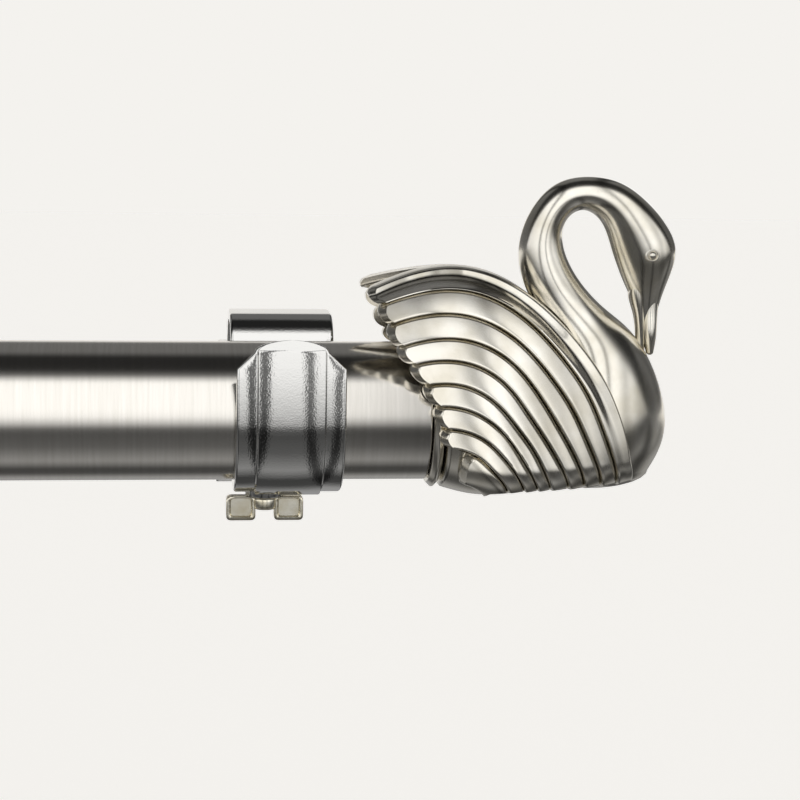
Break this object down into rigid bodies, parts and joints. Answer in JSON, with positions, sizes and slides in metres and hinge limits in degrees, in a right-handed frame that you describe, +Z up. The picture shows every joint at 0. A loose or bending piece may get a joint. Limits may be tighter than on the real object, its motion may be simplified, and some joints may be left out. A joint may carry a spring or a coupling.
{
  "type": "double curtain rod",
  "caption": "Wall-mounted double curtain rod: telescoping front and rear rods in stamped cradle brackets, wing screws below, and swan finials on the front rod.",
  "frame": {"origin": "centre of the four wall screw holes, in the plane of the wall", "axes": "+X along the rods to the right as seen from the room, +Y into the wall, +Z up"},
  "size_m": [0.8176, 0.1128, 0.078],
  "materials": {
    "rod": "satin nickel, finely brushed",
    "bracket": "bright chrome plate with slight orange peel",
    "finial": "cast, satin nickel plate, slightly warm",
    "wing_screw": "die cast, pale warm nickel plate",
    "stud": "zinc-plated thread",
    "bush": "moulded",
    "plug": "moulded",
    "cap": "satin nickel"
  },
  "bodies": {
    "mounted_rods": {"left_bracket": "bracket", "right_bracket": "bracket", "front_outer_tube": "rod", "front_mouth_bush": "bush", "rear_outer_tube": "rod", "rear_mouth_bush": "bush", "right_finial_plug": "plug", "right_finial_stud": "stud", "rear_right_cap": "cap"},
    "front_inner_rod": {"front_inner_tube": "rod", "front_slide_bush": "bush", "left_finial_plug": "plug", "left_finial_stud": "stud"},
    "rear_inner_rod": {"rear_inner_tube": "rod", "rear_slide_bush": "bush", "rear_left_cap": "cap"},
    "right_finial": {"right_swan_finial": "finial"},
    "left_finial": {"left_swan_finial": "finial"},
    "left_front_screw": {"left_front_wing_screw": "wing_screw"},
    "left_rear_screw": {"left_rear_wing_screw": "wing_screw"},
    "right_front_screw": {"right_front_wing_screw": "wing_screw"},
    "right_rear_screw": {"right_rear_wing_screw": "wing_screw"}
  },
  "joints": [
    {"name": "front_telescope", "type": "slide", "parent": "mounted_rods", "child": "front_inner_rod", "axis": [-1, 0, 0], "range_m": [0, 0.5]},
    {"name": "rear_telescope", "type": "slide", "parent": "mounted_rods", "child": "rear_inner_rod", "axis": [-1, 0, 0], "range_m": [0, 0.5]},
    {"name": "right_finial_turn", "type": "hinge", "parent": "mounted_rods", "child": "right_finial", "pos_m": [0.3555, -0.095, 0.0205], "axis": [1, 0, 0], "continuous": true},
    {"name": "left_finial_turn", "type": "hinge", "parent": "front_inner_rod", "child": "left_finial", "pos_m": [-0.3695, -0.095, 0.0205], "axis": [1, 0, 0], "continuous": true},
    {"name": "left_front_screw_turn", "type": "hinge", "parent": "mounted_rods", "child": "left_front_screw", "pos_m": [-0.3338, -0.095, 0.0078], "axis": [0, 0, 1], "range_deg": [0, 360]},
    {"name": "left_rear_screw_turn", "type": "hinge", "parent": "mounted_rods", "child": "left_rear_screw", "pos_m": [-0.3338, -0.045, 0.0078], "axis": [0, 0, 1], "range_deg": [0, 360]},
    {"name": "right_front_screw_turn", "type": "hinge", "parent": "mounted_rods", "child": "right_front_screw", "pos_m": [0.3262, -0.095, 0.0078], "axis": [0, 0, 1], "range_deg": [0, 360]},
    {"name": "right_rear_screw_turn", "type": "hinge", "parent": "mounted_rods", "child": "right_rear_screw", "pos_m": [0.3262, -0.045, 0.0078], "axis": [0, 0, 1], "range_deg": [0, 360]}
  ]
}
